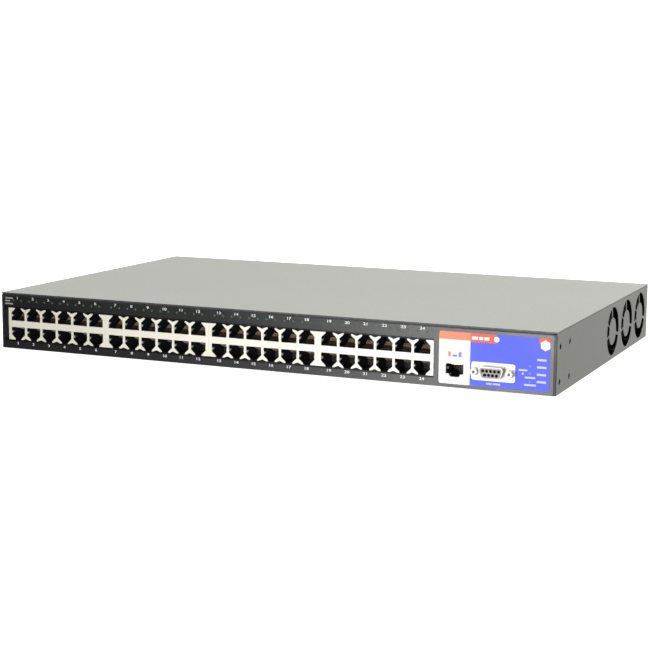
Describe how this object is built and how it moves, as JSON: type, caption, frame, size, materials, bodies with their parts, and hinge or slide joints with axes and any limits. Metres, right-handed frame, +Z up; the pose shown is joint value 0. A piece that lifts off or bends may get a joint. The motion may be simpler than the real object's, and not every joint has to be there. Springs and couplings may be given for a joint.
{
  "type": "rackmount network switch",
  "caption": "Slim grey rack unit with two rows of network jacks in blocks, a service area with console and serial ports, side fans and a rear mains inlet.",
  "frame": {"origin": "centre of the underside of the chassis", "axes": "+X right seen from the front, +Y to the rear, +Z up"},
  "size_m": [0.44, 0.2846, 0.0432],
  "materials": {
    "painted_steel": "fine-textured warm grey powder coat",
    "panel_steel": "dark grey painted sheet",
    "black_film": "satin black polyester film with white numbers",
    "label_film": "printed film in white, blue and coral",
    "cream_plastic": "cream moulded plastic",
    "black_plastic": "black moulded plastic",
    "gold_contact": "gold-plated spring contact",
    "bright_shield": "bright tin plate",
    "insert_plastic": "grey moulded insulator with dark sockets",
    "brass": "plated brass hardware",
    "nickel_post": "warm bright plated hex post",
    "light_pipe": "clear light pipe, faint green",
    "button_plastic": "pale blue button cap",
    "circuit_board": "solder-masked laminate",
    "zinc_steel": "zinc-plated steel",
    "dark_screw": "black-oxide screw",
    "chip_epoxy": "moulded package",
    "bare_aluminium": "extruded aluminium",
    "transformer_core": "taped winding and ferrite",
    "capacitor_sleeve": "shrink sleeve",
    "fan_plastic": "black glass-filled plastic",
    "winding": "enamelled copper on laminations",
    "pin_metal": "nickel-plated brass",
    "wire_sleeve": "PVC wire sleeve"
  },
  "bodies": {
    "chassis": {"chassis_tray": "painted_steel", "top_cover": "painted_steel", "front_panel": "panel_steel", "front_overlay": "black_film", "service_label": "label_film", "jack_bezel_1": "cream_plastic", "jack_bezel_2": "cream_plastic", "jack_bezel_3": "cream_plastic", "jack_bezel_4": "cream_plastic", "jack_body_1": "black_plastic", "jack_body_2": "black_plastic", "jack_body_3": "black_plastic", "jack_body_4": "black_plastic", "console_jack_body": "black_plastic", "inlet_body": "black_plastic", "reset_switch": "black_plastic", "jack_contacts_1": "gold_contact", "jack_contacts_2": "gold_contact", "jack_contacts_3": "gold_contact", "jack_contacts_4": "gold_contact", "console_jack_contacts": "gold_contact", "db9_contacts": "gold_contact", "jack_shield_1": "bright_shield", "jack_shield_2": "bright_shield", "jack_shield_3": "bright_shield", "jack_shield_4": "bright_shield", "console_jack_shield": "bright_shield", "db9_shell": "bright_shield", "db9_insert": "insert_plastic", "board_standoffs": "brass", "db9_jackscrews": "nickel_post", "port_leds": "light_pipe", "status_leds": "light_pipe", "main_board": "circuit_board", "psu_board": "circuit_board", "board_screws": "zinc_steel", "fan_bracket": "zinc_steel", "fan_screws": "zinc_steel", "ground_screw": "zinc_steel", "ear_nuts": "zinc_steel", "cover_screws": "dark_screw", "panel_screws": "dark_screw", "magnetics": "chip_epoxy", "logic_chips": "chip_epoxy", "heatsinks": "bare_aluminium", "psu_heatsinks": "bare_aluminium", "psu_transformers": "transformer_core", "psu_capacitors": "capacitor_sleeve", "fan_frame_1": "fan_plastic", "fan_frame_2": "fan_plastic", "fan_frame_3": "fan_plastic", "fan_stators": "winding", "inlet_pins": "pin_metal", "dc_harness": "wire_sleeve", "fan_leads": "wire_sleeve", "ac_leads": "wire_sleeve"},
    "fan_rotor_1": {"fan_rotor_1": "fan_plastic"},
    "fan_rotor_2": {"fan_rotor_2": "fan_plastic"},
    "fan_rotor_3": {"fan_rotor_3": "fan_plastic"},
    "reset_button": {"reset_button": "button_plastic"}
  },
  "joints": [
    {"name": "fan_1_spin", "type": "hinge", "parent": "chassis", "child": "fan_rotor_1", "pos_m": [0.209, 0.02, 0.0211], "axis": [1, 0, 0], "continuous": true},
    {"name": "fan_2_spin", "type": "hinge", "parent": "chassis", "child": "fan_rotor_2", "pos_m": [0.209, 0.065, 0.0211], "axis": [1, 0, 0], "continuous": true},
    {"name": "fan_3_spin", "type": "hinge", "parent": "chassis", "child": "fan_rotor_3", "pos_m": [0.209, 0.11, 0.0211], "axis": [1, 0, 0], "continuous": true},
    {"name": "reset_press", "type": "slide", "parent": "chassis", "child": "reset_button", "axis": [0, 1, 0], "range_m": [0, 0.0006], "stiffness_N_per_m": 800}
  ]
}
